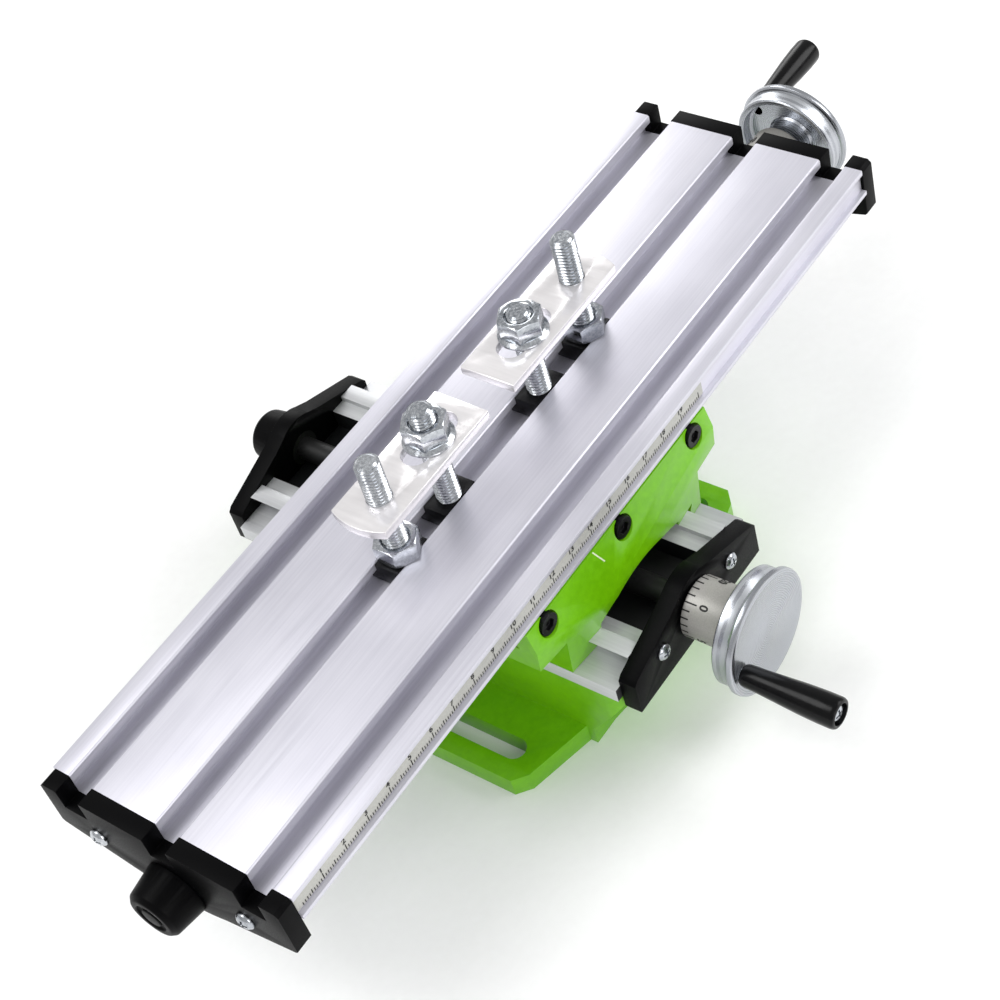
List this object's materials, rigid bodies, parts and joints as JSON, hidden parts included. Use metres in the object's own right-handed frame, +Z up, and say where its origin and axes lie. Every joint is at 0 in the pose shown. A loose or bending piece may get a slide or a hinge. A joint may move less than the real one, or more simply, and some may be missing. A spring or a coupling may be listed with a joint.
{
  "type": "compound milling table",
  "caption": "Compound cross-slide milling table: T-slotted aluminium work table on a green cast saddle and base, two crank handwheels with dials, and strap clamps.",
  "frame": {"origin": "middle of the base's underside", "axes": "+X along the table towards its handwheel, -Y towards the cross slide's handwheel, +Z up"},
  "size_m": [0.386, 0.2322, 0.1178],
  "materials": {
    "green_enamel": "gloss",
    "satin_aluminium": "satin",
    "black_plastic": "matte",
    "turned_aluminium": "polished",
    "dial_aluminium": "satin",
    "ruler_enamel": "satin",
    "bronze": "machined",
    "black_oxide_steel": "black oxide",
    "plated_steel": "zinc plated",
    "polished_steel": "polished"
  },
  "bodies": {
    "base": {"base_casting": "green_enamel", "cross_slide_rail": "satin_aluminium", "rail_screws": "black_oxide_steel", "front_end_plate": "black_plastic", "rear_end_plate": "black_plastic", "end_plate_screws": "plated_steel", "y_screw_bushes": "bronze", "rear_bearing_cap": "black_plastic"},
    "saddle": {"saddle_casting": "green_enamel", "x_gib": "bronze", "y_gib": "bronze", "x_gib_screws": "black_oxide_steel", "y_gib_screws": "black_oxide_steel", "x_feed_nut": "bronze", "y_feed_nut": "bronze", "feed_nut_screws": "black_oxide_steel"},
    "table": {"table_extrusion": "satin_aluminium", "near_end_cap": "black_plastic", "far_end_cap": "black_plastic", "end_cap_screws": "plated_steel", "ruler_tape": "ruler_enamel", "x_screw_bushes": "bronze", "near_bearing_cap": "black_plastic"},
    "x_screw": {"x_leadscrew": "plated_steel", "x_dial": "dial_aluminium", "x_handwheel": "turned_aluminium", "x_wheel_grub_screw": "black_oxide_steel", "x_lock_nut": "plated_steel", "x_grip_spindle": "plated_steel"},
    "x_crank_grip": {"x_grip": "black_plastic"},
    "y_screw": {"y_leadscrew": "plated_steel", "y_dial": "dial_aluminium", "y_handwheel": "turned_aluminium", "y_wheel_grub_screw": "black_oxide_steel", "y_lock_nut": "plated_steel", "y_grip_spindle": "plated_steel"},
    "y_crank_grip": {"y_grip": "black_plastic"},
    "clamp_a": {"clamp_a_strap": "polished_steel", "clamp_a_t_nuts": "black_oxide_steel", "clamp_a_stud": "plated_steel", "clamp_a_flange_nut": "plated_steel", "clamp_a_jack_stud": "plated_steel", "clamp_a_jack_nut": "plated_steel"},
    "clamp_b": {"clamp_b_strap": "polished_steel", "clamp_b_t_nuts": "black_oxide_steel", "clamp_b_stud": "plated_steel", "clamp_b_flange_nut": "plated_steel", "clamp_b_jack_stud": "plated_steel", "clamp_b_jack_nut": "plated_steel"}
  },
  "joints": [
    {"name": "y_travel", "type": "slide", "parent": "base", "child": "saddle", "axis": [0, 1, 0], "range_m": [-0.01, 0.04]},
    {"name": "x_travel", "type": "slide", "parent": "saddle", "child": "table", "axis": [1, 0, 0], "range_m": [-0.1, 0.1]},
    {"name": "x_wheel_turn", "type": "hinge", "parent": "table", "child": "x_screw", "pos_m": [0, -0.0134, 0.0581], "axis": [1, 0, 0], "range_deg": [-28801, 28801]},
    {"name": "y_wheel_turn", "type": "hinge", "parent": "base", "child": "y_screw", "pos_m": [0, 0, 0.0384], "axis": [0, 1, 0], "range_deg": [-2881, 11521]},
    {"name": "x_grip_spin", "type": "hinge", "parent": "x_screw", "child": "x_crank_grip", "pos_m": [0.2, -0.00088, 0.06654], "axis": [1, 0, 0], "continuous": true},
    {"name": "y_grip_spin", "type": "hinge", "parent": "y_screw", "child": "y_crank_grip", "pos_m": [-0.01501, -0.12, 0.03674], "axis": [0, 1, 0], "continuous": true},
    {"name": "clamp_a_slide", "type": "slide", "parent": "table", "child": "clamp_a", "axis": [1, 0, 0], "range_m": [-0.096, 0.006]},
    {"name": "clamp_b_slide", "type": "slide", "parent": "table", "child": "clamp_b", "axis": [1, 0, 0], "range_m": [-0.006, 0.086]}
  ],
  "couplings": [
    {"joint": "x_wheel_turn", "follows": "x_travel", "rad_per_m": 5026.5},
    {"joint": "y_wheel_turn", "follows": "y_travel", "rad_per_m": 5026.5}
  ]
}
